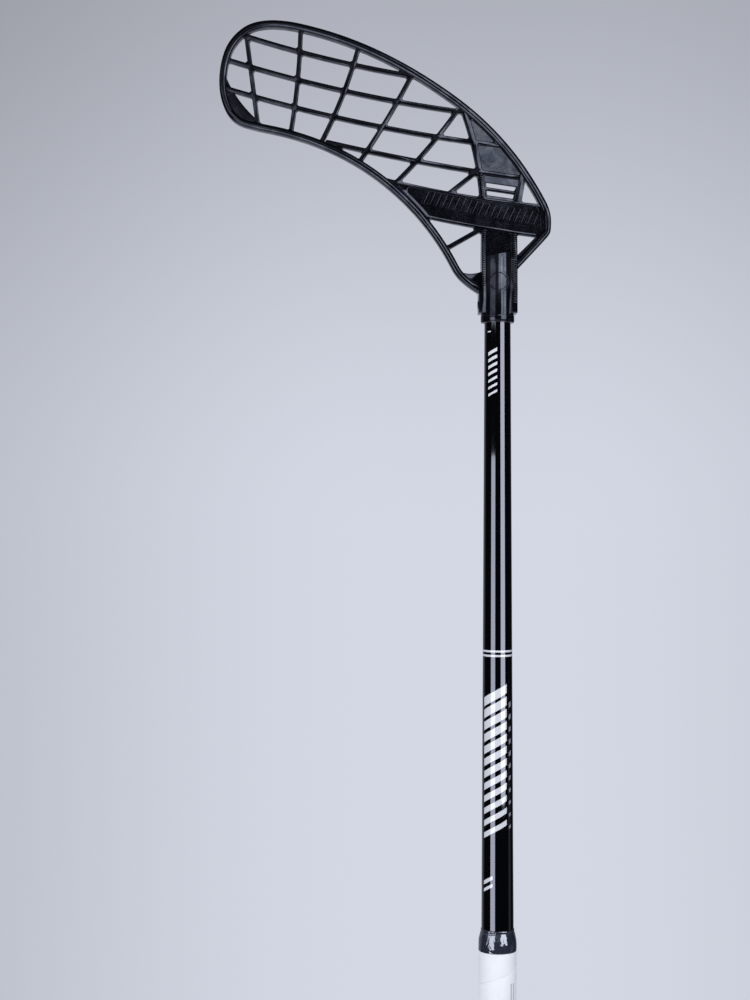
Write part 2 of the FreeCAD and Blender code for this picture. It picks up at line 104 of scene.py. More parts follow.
# The raised bars of the reinforcing band.
BAND_TOE_BAR = (-52 * MM, 90.5 * MM)
BAND_HEEL_BAR = (27 * MM, 75.5 * MM)
BAND_SAG = 1.2 * MM
BAND_BAR_COUNT = 19
BAND_BAR_SIZE = (10 * MM, 0.46 * MM, 2 * MM)
BAND_BAR_LEAN = (0.42, 0, 0.9)
BAND_BAR_EASE = 0.2 * MM

# Marks on the socket's front. A bead's size is its radius.
RING_HEIGHT = 28.7 * MM
RING_RADIUS = 6.3 * MM
RING_BEAD = 0.42 * MM
PARTING_FOOT = 4.6 * MM
PARTING_TOP = 45.6 * MM
PARTING_ASIDE = 3.7 * MM
PARTING_BULGE = 7.9 * MM
PARTING_BEAD = 0.22 * MM

scene = bpy.context.scene
ground = scene.collection


# Small helpers for meshes and pieces.

def settle(piece, slot, *nodes):
    """Joins a finished piece to the stick and hides the solids it stands for."""
    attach(piece, "root")
    if nodes:
        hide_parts(*nodes)
    return piece


def piece_from(name, bm, material, slot, *nodes, crease=30):
    """Turns a mesh under work into a named piece with smooth faces and sharp creases."""
    mesh = bpy.data.meshes.new(name)
    for face in bm.faces:
        face.smooth = True
    bm.to_mesh(mesh)
    bm.free()
    mesh.set_sharp_from_angle(angle=math.radians(crease))
    mesh.materials.append(material)
    piece = bpy.data.objects.new(name, mesh)
    ground.objects.link(piece)
    return settle(piece, slot, *nodes)


def turned(profile, segments, swell=None):
    """A profile of (radius, height) turned about the shaft's axis. A radius of 0 closes a pole."""
    bm = bmesh.new()
    rings = []
    for radius, height in profile:
        if radius == 0:
            rings.append([bm.verts.new((0, 0, height))])
            continue
        ring = []
        for step in range(segments):
            angle = 2 * math.pi * step / segments
            reach = radius + (swell(angle, radius, height) if swell else 0)
            ring.append(bm.verts.new((reach * math.cos(angle), reach * math.sin(angle), height)))
        rings.append(ring)
    pairs = list(zip(rings, rings[1:]))
    if len(rings[0]) > 1 and len(rings[-1]) > 1:
        pairs.append((rings[-1], rings[0]))
    for low, high in pairs:
        for step in range(segments):
            after = (step + 1) % segments
            if len(low) == 1:
                bm.faces.new((low[0], high[after], high[step]))
            elif len(high) == 1:
                bm.faces.new((low[step], low[after], high[0]))
            else:
                bm.faces.new((low[step], low[after], high[after], high[step]))
    return bm


def rounded(centre, radius, first, last, steps):
    """Points of an arc in a turned profile, angles in degrees."""
    points = []
    for step in range(steps + 1):
        angle = math.radians(first + (last - first) * step / steps)
        points.append((centre[0] + radius * math.cos(angle), centre[1] + radius * math.sin(angle)))
    return points


# Small helpers for node trees.

def maths(tree, kind, *values):
    """One step of arithmetic in a node tree, on numbers and other nodes' outputs."""
    node = tree.nodes.new("ShaderNodeMath")
    node.operation = kind
    for spot, value in enumerate(values):
        if isinstance(value, (int, float)):
            node.inputs[spot].default_value = value
        else:
            tree.links.new(value, node.inputs[spot])
    return node.outputs["Value"]


def product(tree, first, *others):
    """Several values multiplied."""
    for other in others:
        first = maths(tree, "MULTIPLY", first, other)
    return first


def spread(tree, value, start, end, low, high, kind="SMOOTHSTEP"):
    """A value that runs from start to end, spread from low to high."""
    node = tree.nodes.new("ShaderNodeMapRange")
    node.interpolation_type = kind
    for name, amount in (("From Min", start), ("From Max", end), ("To Min", low), ("To Max", high)):
        node.inputs[name].default_value = amount
    tree.links.new(value, node.inputs["Value"])
    return node.outputs["Result"]


# Node groups for the surfaces.

def mottle_group():
    """Fine grain, broad clouds and sparse specks at a place."""
    group = bpy.data.node_groups.new("surface_mottle", "ShaderNodeTree")
    face = group.interface
    face.new_socket("Place", in_out="INPUT", socket_type="NodeSocketVector")
    face.new_socket("Grain Scale", in_out="INPUT", socket_type="NodeSocketFloat")
    for name in ("Grain", "Clouds", "Specks"):
        face.new_socket(name, in_out="OUTPUT", socket_type="NodeSocketFloat")
    nodes, join = group.nodes, group.links.new
    given, out = nodes.new("NodeGroupInput"), nodes.new("NodeGroupOutput")
    grain = nodes.new("ShaderNodeTexNoise")
    grain.inputs["Detail"].default_value = 3
    grain.inputs["Roughness"].default_value = 0.6
    clouds = nodes.new("ShaderNodeTexNoise")
    clouds.inputs["Scale"].default_value = 38
    clouds.inputs["Detail"].default_value = 4
    cells = nodes.new("ShaderNodeTexVoronoi")
    cells.inputs["Scale"].default_value = 260
    for texture in (grain, clouds, cells):
        join(given.outputs["Place"], texture.inputs["Vector"])
    join(given.outputs["Grain Scale"], grain.inputs["Scale"])
    specks = spread(group, cells.outputs["Distance"], 0.05, 0.16, 1, 0, "LINEAR")
    join(grain.outputs["Fac"], out.inputs["Grain"])
    join(clouds.outputs["Fac"], out.inputs["Clouds"])
    join(specks, out.inputs["Specks"])
    return group


def leaning_bars_group():
    """Mask of a column of leaning bars printed round a post, from its top bar down."""
    group = bpy.data.node_groups.new("leaning_bars", "ShaderNodeTree")
    face = group.interface
    face.new_socket("Place", in_out="INPUT", socket_type="NodeSocketVector")
    for name in ("Middle", "Width", "Top", "Pitch", "Count", "Thick", "Thin", "Lean"):
        face.new_socket(name, in_out="INPUT", socket_type="NodeSocketFloat")
    face.new_socket("Mask", in_out="OUTPUT", socket_type="NodeSocketFloat")
    nodes, join = group.nodes, group.links.new
    given, out = nodes.new("NodeGroupInput").outputs, nodes.new("NodeGroupOutput")
    work_out = partial(maths, group)
    place = nodes.new("ShaderNodeSeparateXYZ")
    join(given["Place"], place.inputs["Vector"])
    x, y, z = place.outputs
    radius = work_out("SQRT", work_out("ADD", work_out("MULTIPLY", x, x), work_out("MULTIPLY", y, y)))
    angle = work_out("ARCTAN2", x, work_out("MULTIPLY", y, -1.0))
    across = work_out("SUBTRACT", work_out("MULTIPLY", angle, radius), given["Middle"])
    below_top = work_out("SUBTRACT", given["Top"], z)
    drop = work_out("DIVIDE", work_out("MULTIPLY_ADD", across, given["Lean"], below_top), given["Pitch"])
    along = work_out("DIVIDE", work_out("FLOOR", drop), given["Count"])
    thinning = work_out("SUBTRACT", given["Thin"], given["Thick"])
    share = work_out("MULTIPLY_ADD", along, thinning, given["Thick"])
    mask = product(
        group,
        work_out("LESS_THAN", work_out("FRACT", drop), share),
        work_out("LESS_THAN", work_out("MULTIPLY", work_out("ABSOLUTE", across), 2.0), given["Width"]),
        work_out("GREATER_THAN", drop, 0.0),
        work_out("LESS_THAN", drop, given["Count"]))
    join(mask, out.inputs["Mask"])
    return group


MOTTLE = mottle_group()
LEANING_BARS = leaning_bars_group()


class Finish:
    """A material under work: its shader, its place and the mottle that the rest draws on."""

    def __init__(self, name, grain_scale, stretch=(1, 1, 1), **sockets):
        self.material = bpy.data.materials.new(name)
        self.material.use_nodes = True
        self.tree = self.material.node_tree
        self.nodes = self.tree.nodes
        self.join = self.tree.links.new
        self.shader = self.nodes["Principled BSDF"]
        for socket, value in sockets.items():
            self.shader.inputs[socket.replace("_", " ")].default_value = value
        self.place = self.nodes.new("ShaderNodeTexCoord").outputs["Object"]
        stretched = self.nodes.new("ShaderNodeMapping")
        stretched.inputs["Scale"].default_value = stretch
        self.join(self.place, stretched.inputs["Vector"])
        self.stretched = stretched.outputs["Vector"]
        mottle = self.nodes.new("ShaderNodeGroup")
        mottle.node_tree = MOTTLE
        mottle.inputs["Grain Scale"].default_value = grain_scale
        self.join(self.stretched, mottle.inputs["Place"])
        self.grain = mottle.outputs["Grain"]
        self.clouds = mottle.outputs["Clouds"]
        self.specks = mottle.outputs["Specks"]

    def ramp(self, value, stops):
        """Colours along a value, as (position, colour) stops."""
        node = self.nodes.new("ShaderNodeValToRGB")
        for spot, (position, colour) in enumerate(stops):
            band = node.color_ramp.elements
            stop = band[spot] if spot < 2 else band.new(position)
            stop.position = position
            stop.color = (*colour, 1)
        self.join(value, node.inputs["Fac"])
        return node.outputs["Color"]

    def span(self, value, low, high, start=0.3, end=0.7):
        """A value spread evenly from low to high."""
        return spread(self.tree, value, start, end, low, high, "LINEAR")

    def mixed(self, share, first, second):
        """Two colours mixed by a share."""
        node = self.nodes.new("ShaderNodeMix")
        node.data_type = "RGBA"
        self.join(share, node.inputs["Factor"])
        self.join(first, node.inputs["A"])
        self.join(second, node.inputs["B"])
        return node.outputs["Result"]

    def sum(self, first, second, weight):
        """first + weight * second."""
        return maths(self.tree, "MULTIPLY_ADD", second, weight, first)

    def bars(self, columns):
        """One mask of several columns of printed bars, each with its values in the group's order."""
        mask = None
        for column in columns:
            node = self.nodes.new("ShaderNodeGroup")
            node.node_tree = LEANING_BARS
            self.join(self.place, node.inputs["Place"])
            for socket, value in zip(list(node.inputs)[1:], column):
                socket.default_value = value
            shown = node.outputs["Mask"]
            mask = shown if mask is None else maths(self.tree, "MAXIMUM", mask, shown)
        return mask

    def noise(self, scale, place=None, detail=2, twist=0):
        """Noise of its own scale, at the object's place or another one."""
        node = self.nodes.new("ShaderNodeTexNoise")
        node.inputs["Scale"].default_value = scale
        node.inputs["Detail"].default_value = detail
        node.inputs["Distortion"].default_value = twist
        self.join(place or self.place, node.inputs["Vector"])
        return node.outputs["Fac"]

    def paint(self, colour, roughness, height, strength, depth, coat=None):
        """Sends the colour, the roughness, a bump's height and any coat's weight to the shader."""
        self.join(colour, self.shader.inputs["Base Color"])
        self.join(roughness, self.shader.inputs["Roughness"])
        if coat:
            self.join(coat, self.shader.inputs["Coat Weight"])
        bump = self.nodes.new("ShaderNodeBump")
        bump.inputs["Strength"].default_value = strength
        bump.inputs["Distance"].default_value = depth
        self.join(height, bump.inputs["Height"])
        self.join(bump.outputs["Normal"], self.shader.inputs["Normal"])
        self.join(bump.outputs["Normal"], self.shader.inputs["Coat Normal"])
        return self.material


def blade_plastic():
    """Satin black polyethylene: fine grain, shallow sink marks and a gloss that blooms in patches."""
    finish = Finish("satin_black_moulding", 1500, IOR=1.5, Specular_Tint=(0.72, 0.79, 1.0, 1),
                    Coat_IOR=1.5, Coat_Roughness=0.08, Coat_Tint=(0.9, 0.94, 1.0, 1))
    colour = finish.ramp(finish.clouds, [(0.3, (0.0015, 0.0018, 0.0028)), (0.7, (0.003, 0.0035, 0.005))])
    haze = finish.noise(130, detail=5, twist=0.6)
    sinks = finish.sum(finish.clouds, haze, 0.35)
    height = finish.sum(finish.sum(sinks, finish.grain, 0.02), finish.specks, 0.02)
    bloom = finish.span(finish.noise(95, detail=4, twist=0.8), 0.0, 0.9, 0.36, 0.64)
    return finish.paint(colour, finish.span(haze, 0.06, 0.15), height, 1.0, 0.1 * MM, bloom)


# Printed columns on the shaft and the grip: middle, measured round from the front, width, top, pitch,
# count, share of the pitch that the first and the last bar fill, and lean.
WHITE_PRINT = [
    (-3.0 * MM, 18.5 * MM, 516 * MM, 8.8 * MM, 12, 0.74, 0.42, 0.55),
    (-4.4 * MM, 7.0 * MM, 760 * MM, 5.0 * MM, 7, 0.5, 0.3, 0.5),
    (-7.0 * MM, 2.6 * MM, 773.6 * MM, 1.0 * MM, 1, 0.9, 0.9, 0.1),
    (-8.4 * MM, 8.0 * MM, 382 * MM, 5.6 * MM, 2, 0.5, 0.34, 0.55),
    (0.0, 1.0, 545.1 * MM, 3.2 * MM, 2, 0.44, 0.44, 0.0),
]
GREY_PRINT = [(9.4 * MM, 2.2 * MM, 508 * MM, 8.8 * MM, 11, 0.42, 0.24, 0.55)]
GRIP_LINES = [(9.9 * MM, 0.9 * MM, 307 * MM, 60 * MM, 1, 1.0, 1.0, 0.0),
              (12.5 * MM, 0.9 * MM, 307 * MM, 60 * MM, 1, 1.0, 1.0, 0.0)]


def shaft_lacquer():
    """Deep gloss black lacquer over a wound tube, with white and grey bars printed under it."""
    finish = Finish("gloss_black_lacquer", 420, stretch=(1, 1, 0.08), IOR=2.0,
                    Specular_Tint=(0.8, 0.83, 1.0, 1), Coat_Weight=1.0, Coat_Roughness=0.025, Coat_IOR=1.6)
    black = finish.ramp(finish.clouds, [(0.3, (0.0006, 0.0006, 0.0008)), (0.7, (0.0012, 0.0012, 0.0016))])
    white = finish.ramp(finish.clouds, [(0.3, (0.7, 0.71, 0.73)), (0.7, (0.8, 0.81, 0.83))])
    grey = finish.ramp(finish.clouds, [(0.3, (0.24, 0.25, 0.27)), (0.7, (0.3, 0.31, 0.33))])
    white_bars, grey_bars = finish.bars(WHITE_PRINT), finish.bars(GREY_PRINT)
    colour = finish.mixed(white_bars, finish.mixed(grey_bars, black, grey), white)
    height = finish.sum(finish.grain, white_bars, 0.6)
    return finish.paint(colour, finish.span(finish.grain, 0.03, 0.06), height, 0.02, 0.02 * MM)


def grip_band():
    """White soft foamed band with fine pores, a slight soiling and two printed grey lines."""
    finish = Finish("white_soft_band", 3200, IOR=1.45, Sheen_Weight=0.1, Sheen_Roughness=0.6)
    clean = finish.ramp(finish.clouds, [(0.25, (0.8, 0.8, 0.8)), (0.75, (0.86, 0.86, 0.86))])
    soiling = finish.noise(140, detail=5)
    soiled = finish.ramp(soiling, [(0.3, (0.78, 0.775, 0.77)), (0.8, (0.85, 0.85, 0.845))])
    line = finish.ramp(finish.grain, [(0.3, (0.3, 0.3, 0.32)), (0.7, (0.42, 0.42, 0.44))])
    colour = finish.mixed(finish.bars(GRIP_LINES), finish.mixed(finish.specks, clean, soiled), line)
    height = finish.sum(finish.grain, finish.specks, -0.3)
    return finish.paint(colour, finish.span(finish.clouds, 0.5, 0.62), height, 0.18, 0.05 * MM)


def tape_film():
    """Dark glossy film with pulled wrinkles."""
    finish = Finish("dark_film_tape", 1100, stretch=(1, 1, 0.5), IOR=2.2,
                    Specular_Tint=(0.84, 0.88, 1.0, 1), Coat_Weight=1.0, Coat_Roughness=0.03, Coat_IOR=2.0)
    colour = finish.ramp(finish.clouds, [(0.3, (0.014, 0.017, 0.028)), (0.7, (0.03, 0.035, 0.052))])
    wrinkles = finish.noise(170, finish.stretched, 1.5, 1.8)
    height = finish.sum(wrinkles, finish.grain, 0.06)
    return finish.paint(colour, finish.span(wrinkles, 0.05, 0.14), height, 0.8, 0.5 * MM)


def cap_plastic():
    """Matt black moulding, paler in patches."""
    finish = Finish("matt_black_cap", 1900, IOR=1.48)
    colour = finish.ramp(finish.clouds, [(0.3, (0.016, 0.016, 0.018)), (0.7, (0.034, 0.034, 0.037))])
    height = finish.sum(finish.grain, finish.specks, 0.4)
    return finish.paint(colour, finish.span(finish.clouds, 0.5, 0.66), height, 0.3, 0.06 * MM)


def screw_steel():
    """Blackened steel with worn bright flecks."""
    finish = Finish("blackened_steel", 2600, Metallic=1.0)
    dark = finish.ramp(finish.clouds, [(0.3, (0.07, 0.07, 0.075)), (0.7, (0.14, 0.14, 0.145))])
    worn = finish.ramp(finish.grain, [(0.45, (0.1, 0.1, 0.105)), (0.75, (0.42, 0.42, 0.43))])
    colour = finish.mixed(finish.specks, dark, worn)
    return finish.paint(colour, finish.span(finish.grain, 0.28, 0.45), finish.grain, 0.15, 0.03 * MM)


def hot_melt_glue():
    """Milky glue, a little lumpy."""
    finish = Finish("milky_hot_melt", 700, IOR=1.48)
    colour = finish.ramp(finish.clouds, [(0.3, (0.62, 0.57, 0.43)), (0.7, (0.78, 0.73, 0.6))])
    return finish.paint(colour, finish.span(finish.grain, 0.3, 0.45), finish.clouds, 0.3, 0.2 * MM)


BLADE_PLASTIC = blade_plastic()
LACQUER = shaft_lacquer()
GRIP_BAND = grip_band()
TAPE_FILM = tape_film()
CAP_PLASTIC = cap_plastic()
SCREW_STEEL = screw_steel()
GLUE = hot_melt_glue()


# Geometry Nodes for what repeats.

def growing(name, sockets):
    """An empty tree with named inputs and one mesh output."""
    tree = bpy.data.node_groups.new(name, "GeometryNodeTree")
    tree.interface.new_socket("Mesh", in_out="OUTPUT", socket_type="NodeSocketGeometry")
    for socket, kind in sockets.items():
        tree.interface.new_socket(socket, in_out="INPUT", socket_type="NodeSocket" + kind)
    return tree, tree.nodes, tree.links.new


def bars_along_path():
    """Bars set across a bent path at even steps."""
    tree, nodes, join = growing("bars_along_path", {
        "First Bar": "Vector", "Middle": "Vector", "Last Bar": "Vector", "Across": "Vector",
        "Bar Count": "Int", "Bar Size": "Vector", "Material": "Material"})
    given, out = nodes.new("NodeGroupInput"), nodes.new("NodeGroupOutput")
    path = nodes.new("GeometryNodeCurveQuadraticBezier")
    spots = nodes.new("GeometryNodeCurveToPoints")
    bar = nodes.new("GeometryNodeMeshCube")
    turn = nodes.new("FunctionNodeAlignRotationToVector")
    turn.axis = "X"
    put = nodes.new("GeometryNodeInstanceOnPoints")
    real = nodes.new("GeometryNodeRealizeInstances")
    coat = nodes.new("GeometryNodeSetMaterial")
    join(given.outputs["First Bar"], path.inputs["Start"])
    join(given.outputs["Middle"], path.inputs["Middle"])
    join(given.outputs["Last Bar"], path.inputs["End"])
    join(path.outputs["Curve"], spots.inputs["Curve"])
    join(given.outputs["Bar Count"], spots.inputs["Count"])
    join(given.outputs["Bar Size"], bar.inputs["Size"])
    join(given.outputs["Across"], turn.inputs["Vector"])
    join(spots.outputs["Points"], put.inputs["Points"])
    join(bar.outputs["Mesh"], put.inputs["Instance"])
    join(turn.outputs["Rotation"], put.inputs["Rotation"])
    join(put.outputs["Instances"], real.inputs["Geometry"])
    join(real.outputs["Geometry"], coat.inputs["Geometry"])
    join(given.outputs["Material"], coat.inputs["Material"])
    join(coat.outputs["Geometry"], out.inputs["Mesh"])
    return tree


def carrying(mesh):
    """An object that carries a mesh while a modifier works on it."""
    carrier = bpy.data.objects.new("carrier", mesh)
    ground.objects.link(carrier)
    return carrier


def worked(carrier):
    """The mesh that a carrier's modifier makes. The carrier is then removed."""
    mesh = bpy.data.meshes.new_from_object(carrier.evaluated_get(bpy.context.evaluated_depsgraph_get()))
    bpy.data.objects.remove(carrier)
    return mesh


def grown(tree, values):
    """The mesh that a tree makes from its named inputs."""
    carrier = carrying(bpy.data.meshes.new("carrier"))
    work = carrier.modifiers.new("grow", "NODES")
    work.node_group = tree
    for socket in tree.interface.items_tree:
        if socket.item_type == "SOCKET" and socket.in_out == "INPUT":
            work[socket.identifier] = values[socket.name]
    return worked(carrier)


def gathered(meshes):
    """Several meshes as one under work."""
    bm = bmesh.new()
    for mesh in meshes:
        bm.from_mesh(mesh)
        bpy.data.meshes.remove(mesh)
    return bm


def soften(bm, width):
    """Rounds every sharp edge."""
    least = math.radians(SHARP_TURN)
    sharp = [edge for edge in bm.edges if edge.is_manifold and edge.calc_face_angle(0) > least]
    bmesh.ops.bevel(bm, geom=sharp, offset=width, offset_type="OFFSET", segments=2, profile=0.5,
                    affect="EDGES", clamp_overlap=True)


BARS_ALONG_PATH = bars_along_path()


# The blade.

def ease_share(edge):
    """How much of the full rounding an edge of the blade takes. The small forms of the neck take less."""
    turn = math.degrees(edge.calc_face_angle(0)) if edge.is_manifold and edge.is_convex else 0
    middle = (edge.verts[0].co + edge.verts[1].co) / 2
    if turn < SHARP_TURN:
        return 0.0
    if abs(middle.x) > NECK_SIDE or middle.z > SOCKET_MOUTH + NECK_TOP:
        return 1.0
    return NECK_EASE_SHARE if turn > CHAMFER_TURN else 0.0


def blade_moulding():
    """The blade's solid with its edges eased as a mould leaves them."""
    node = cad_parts["blade"]
    bm = bmesh.new()
    bm.from_mesh(node.data)
    bm.transform(node.matrix_world)
    bmesh.ops.remove_doubles(bm, verts=bm.verts, dist=WELD)
    bmesh.ops.dissolve_limit(bm, angle_limit=math.radians(FLAT_TURN), verts=bm.verts, edges=bm.edges)
    share = bm.edges.layers.float.new("bevel_weight_edge")
    for edge in bm.edges:
        edge[share] = ease_share(edge)
    mesh = bpy.data.meshes.new("blade_edges")
    bm.to_mesh(mesh)
    bm.free()
    carrier = carrying(mesh)
    work = carrier.modifiers.new("ease", "BEVEL")
    work.limit_method = "WEIGHT"
    work.width = BLADE_EASE
    work.segments = 3
    work.use_clamp_overlap = False
    bm = gathered([worked(carrier)])
    bm.edges.layers.float.remove(bm.edges.layers.float["bevel_weight_edge"])
    return piece_from("blade_moulding", bm, BLADE_PLASTIC, "blade_plastic", "blade", crease=28)


def on_blade(depth, *places):
    """Places at a depth of the blade, from (distance from the shaft's axis, height) pairs."""
    return [Vector((x, depth, SOCKET_MOUTH + up)) for x, up in places]


def ladder(first, last, across, length):
    """A row of small cross ribs from first to last."""
    return grown(BARS_ALONG_PATH, {
        "First Bar": first, "Middle": (first + last) / 2, "Last Bar": last, "Across": across,
        "Bar Count": round((last - first).length / LADDER_PITCH) + 1,
        "Bar Size": (length, LADDER_RIB_DEPTH, LADDER_RIB_WIDTH), "Material": BLADE_PLASTIC})


def rail_front(up):
    """How far a rail's front is from the blade's middle plane. It draws in above the bend."""
    slope = (RAIL_FRONT - RAIL_TOP_FRONT) / (RAIL_TOP - RAIL_BEND)
    return RAIL_FRONT - slope * max(up - RAIL_BEND, 0)


def neck_ladders():
    """Cross ribs for the fingers on both neck rails and on the spine, front and back."""
    heel_middle = RAIL_OUTSIDE - RAIL_WIDTH / 2
    toe_middle = -(RAIL_OUTSIDE - TOE_RAIL_STEP / 2 - RAIL_WIDTH / 2)
    rows = []
    for face in (-1, 1):
        for middle, (low, top, length) in ((heel_middle, HEEL_LADDER), (toe_middle, TOE_LADDER)):
            for row in ((low, RAIL_BEND), (RAIL_BEND + LADDER_PITCH, top)):
                first, last = [Vector((middle, face * rail_front(up), SOCKET_MOUTH + up)) for up in row]
                rows.append(ladder(first, last, LEVEL, length))
        top, foot = on_blade(face * RIB_FRONT, SPINE_LADDER_TOP, SPINE_LADDER_FOOT)
        rows.append(ladder(top, foot, SPINE_LEAN, SPINE_RIB_LENGTH))
    bm = gathered(rows)
    soften(bm, LADDER_RIB_EASE)
    return piece_from("neck_ladder_ribs", bm, BLADE_PLASTIC, "blade_plastic")


def band_hatch():
    """Raised slanting bars in the sunk field of the reinforcing band, front and back."""
    rows = []
    for face in (-1, 1):
        first, last = on_blade(face * BAND_FRONT, BAND_TOE_BAR, BAND_HEEL_BAR)
        rows.append(grown(BARS_ALONG_PATH, {
            "First Bar": first, "Middle": (first + last) / 2 - Vector((0, 0, BAND_SAG)), "Last Bar": last,
            "Across": BAND_BAR_LEAN, "Bar Count": BAND_BAR_COUNT, "Bar Size": BAND_BAR_SIZE,
            "Material": BLADE_PLASTIC}))
    bm = gathered(rows)
    soften(bm, BAND_BAR_EASE)
    return piece_from("band_raised_bars", bm, BLADE_PLASTIC, "blade_plastic", crease=20)


def slot_fields():
    """The field above the neck's slots, which leans a little to the floor edge, front and back."""
    # Distance from the shaft's axis, height and stand-out, in millimetres.
    corners = ((-9.6, 105.9, 0.02), (15.0, 102.3, 0.02), (14.2, 98.2, 0.24), (-9.3, 101.5, 0.24))
    depth = -0.3
    bm = bmesh.new()

    def corner(face, x, up, out):
        return bm.verts.new((x * MM, face * (WEB_FRONT + out * MM), SOCKET_MOUTH + up * MM))

    for face in (-1, 1):
        sunk = [corner(face, x, up, depth) for x, up, _ in corners]
        proud = [corner(face, x, up, out) for x, up, out in corners]
        bm.faces.new(sunk)
        bm.faces.new(proud)
        for spot in range(len(corners)):
            on = (spot + 1) % len(corners)
            bm.faces.new((sunk[spot], sunk[on], proud[on], proud[spot]))
    bmesh.ops.recalc_face_normals(bm, faces=bm.faces)
    return piece_from("neck_slot_fields", bm, BLADE_PLASTIC, "blade_plastic", crease=10)


def bead_on_socket(name, line, thick, closed):
    """A fine raised bead along a line of (distance round, height) on the socket's round front."""
    bm = bmesh.new()
    loops = []
    sides = 10
    for spot, (round_way, height) in enumerate(line):
        before = line[spot - 1] if spot or closed else line[0]
        after = line[(spot + 1) % len(line)] if spot + 1 < len(line) or closed else line[-1]
        along = Vector((after[0] - before[0], after[1] - before[1])).normalized()
        loop = []
        for turn in range(sides):
            around = 2 * math.pi * turn / sides
            bend = (round_way + along.y * thick * math.cos(around)) / SOCKET_RADIUS
            wall = SOCKET_RADIUS + thick * math.sin(around)
            loop.append(bm.verts.new((wall * math.sin(bend), -wall * math.cos(bend),
                                      SOCKET_MOUTH + height - along.x * thick * math.cos(around))))
        loops.append(loop)
    for loop, after in zip(loops, loops[1:] + loops[:1] if closed else loops[1:]):
        for turn in range(sides):
            on = (turn + 1) % sides
            bm.faces.new((loop[turn], after[turn], after[on], loop[on]))
    if not closed:
        bm.faces.new(loops[0])
        bm.faces.new(loops[-1])
    bmesh.ops.recalc_face_normals(bm, faces=bm.faces)
    return piece_from(name, bm, BLADE_PLASTIC, "blade_plastic", crease=60)


def socket_beads():
    """A plain ring on the socket's front, and the mould's parting line that runs round it."""
    centre = (0, RING_HEIGHT)
    ring_points = 72
    ring = rounded(centre, RING_RADIUS, 0, 360 - 360 / ring_points, ring_points - 1)
    bead_on_socket("socket_raised_ring", ring, RING_BEAD, closed=True)
    lean = math.degrees(math.acos(PARTING_ASIDE / PARTING_BULGE))
    line = [(PARTING_ASIDE, PARTING_FOOT)]
    line += rounded(centre, PARTING_BULGE, -lean, lean, 24)
    line += [(PARTING_ASIDE, PARTING_TOP)]
    bead_on_socket("socket_parting_line", line, PARTING_BEAD, closed=False)


# The shaft.

def shaft():
    """The tapering tube, eased at both ends."""
    ease = 0.3 * MM
    bore, tip_bore = SHAFT_RADIUS - SHAFT_WALL, TIP_RADIUS - SHAFT_WALL
    profile = [
        (SHAFT_RADIUS - ease, shaft_low.z), (SHAFT_RADIUS, shaft_low.z + ease), (SHAFT_RADIUS, TAPER_START),
        (TIP_RADIUS, SOCKET_MOUTH), (TIP_RADIUS, shaft_high.z - ease), (TIP_RADIUS - ease, shaft_high.z),
        (tip_bore, shaft_high.z), (tip_bore, SOCKET_MOUTH), (bore, TAPER_START), (bore, shaft_low.z)]
    bm = turned(profile, segments=144)
    return piece_from("shaft_lacquered", bm, LACQUER, "shaft_lacquer", "shaft_tube")


# The grip, its tape and the butt.

def grip():
    """One soft band wound up the shaft, its edges rolled so that each seam is a soft groove."""
    thick = GRIP_RADIUS - SHAFT_RADIUS
    half_gap = 0.02 * MM
    roll = 0.3 * MM
    half = GRIP_PITCH / 2 - half_gap
    section = [(-half, 0), (half, 0)]
    section += rounded((half - roll, thick - roll), roll, 0, 90, 4)
    section += rounded((-half + roll, thick - roll), roll, 90, 180, 4)
    steps = 72
    spare_turns = 2.2
    total = round(steps * ((grip_high.z - grip_low.z) / GRIP_PITCH + spare_turns))
    bm = bmesh.new()
    loops = []
    for step in range(total + 1):
        angle = 2 * math.pi * step / steps
        centre = grip_low.z + GRIP_PITCH * (step / steps - 1)
        loop = []
        for along, out in section:
            reach = SHAFT_RADIUS + out
            loop.append(bm.verts.new((reach * math.cos(angle), reach * math.sin(angle), centre + along)))
        loops.append(loop)
    for loop, after in zip(loops, loops[1:]):
        for spot in range(len(section)):
            on = (spot + 1) % len(section)
            bm.faces.new((loop[spot], loop[on], after[on], after[spot]))
    bm.faces.new(loops[0])
    bm.faces.new(loops[-1])
    for height, up in ((grip_low.z, -1), (grip_high.z, 1)):
        cut = bmesh.ops.bisect_plane(bm, geom=bm.verts[:] + bm.edges[:] + bm.faces[:], dist=1e-7,
                                     plane_co=(0, 0, height), plane_no=(0, 0, up), clear_outer=True)
        edges = [part for part in cut["geom_cut"] if isinstance(part, bmesh.types.BMEdge)]
        bmesh.ops.triangle_fill(bm, edges=[edge for edge in edges if edge.is_boundary], use_beauty=True)
    bmesh.ops.recalc_face_normals(bm, faces=bm.faces)
    return piece_from("grip_band_wound", bm, GRIP_BAND, "grip_band", "grip_wrap", crease=50)


